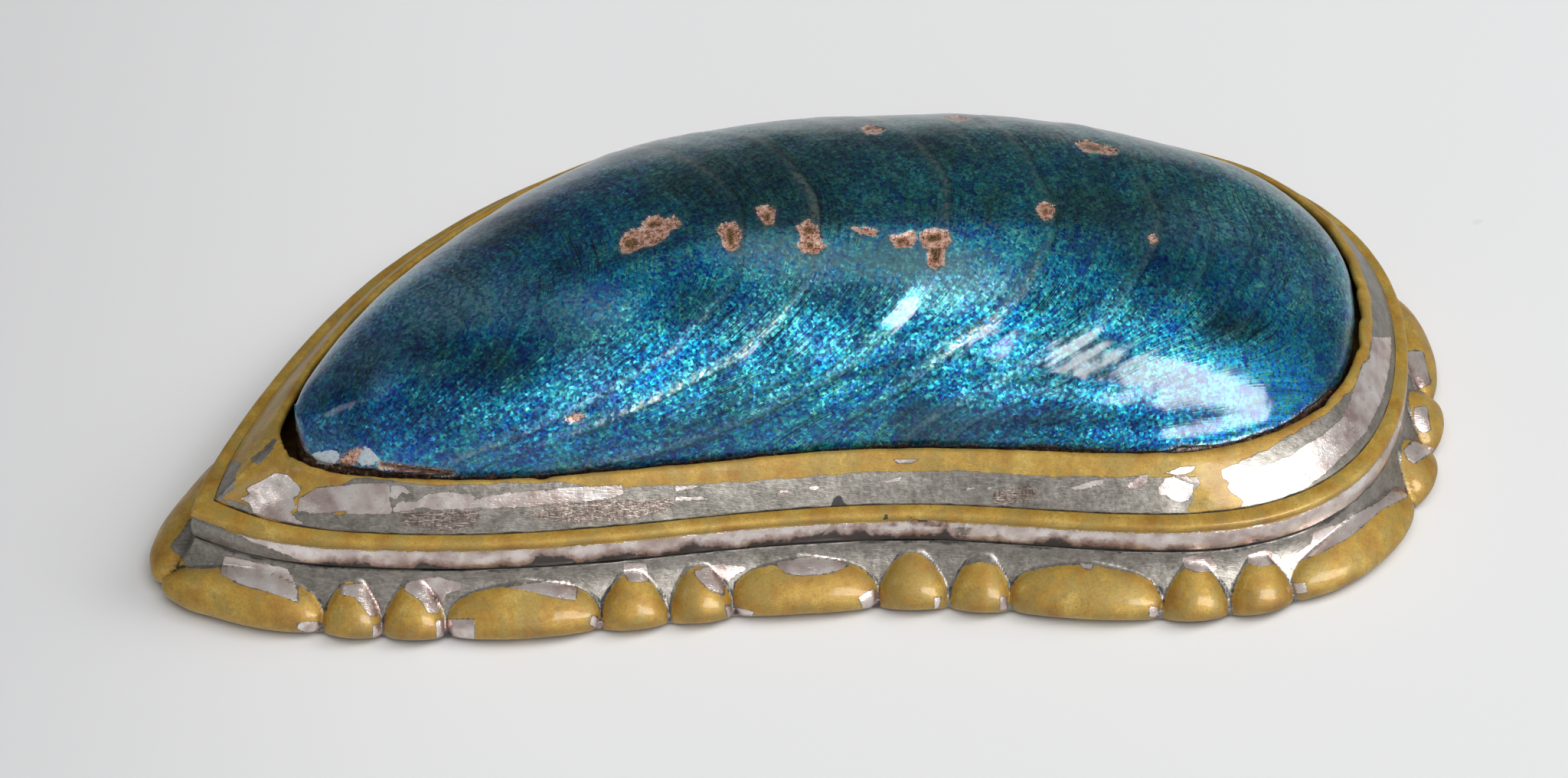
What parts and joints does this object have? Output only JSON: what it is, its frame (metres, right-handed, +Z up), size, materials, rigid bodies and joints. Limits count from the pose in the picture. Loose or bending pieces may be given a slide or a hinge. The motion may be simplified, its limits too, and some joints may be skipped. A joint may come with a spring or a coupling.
{
  "type": "snuff box",
  "caption": "Hinged snuff box in the form of a mussel shell: an enamelled domed shell in a plated metal cover over a shallow tray with a lobed border.",
  "frame": {"origin": "centre of the bounding box at the underside of the base plate", "axes": "+X along the box from the pointed tip to the round end, +Y from the side away from the hinge to the hinge, +Z up"},
  "size_m": [0.0862, 0.0466, 0.0206],
  "materials": {
    "enamel": "glossy translucent blue enamel fused over copper, chipped on the ridge",
    "copper": "dull dark copper strip, hidden inside the cover",
    "plated_brass": "worn silver plate and tin over brass, bare brass on the high spots, tarnish in the hollows",
    "bare_brass": "satin aged brass",
    "pin_wire": "dull drawn wire"
  },
  "bodies": {
    "base": {"base_border": "plated_brass", "base_gorge": "bare_brass", "base_plate": "bare_brass", "base_joint_plate": "bare_brass", "base_knuckle_left": "bare_brass", "base_knuckle_middle": "bare_brass", "base_knuckle_right": "bare_brass", "hinge_pin": "pin_wire"},
    "cover": {"enamelled_shell": "enamel", "shell_bearer": "copper", "bezel_collar": "plated_brass", "cover_frame": "plated_brass", "cover_joint_plate": "bare_brass", "cover_knuckle_left": "bare_brass", "cover_knuckle_right": "bare_brass"}
  },
  "joints": [
    {"name": "cover_hinge", "type": "hinge", "parent": "base", "child": "cover", "pos_m": [0.00719, 0.02193, 0.0042], "axis": [-1, 0, 0], "range_deg": [0, 100]}
  ]
}
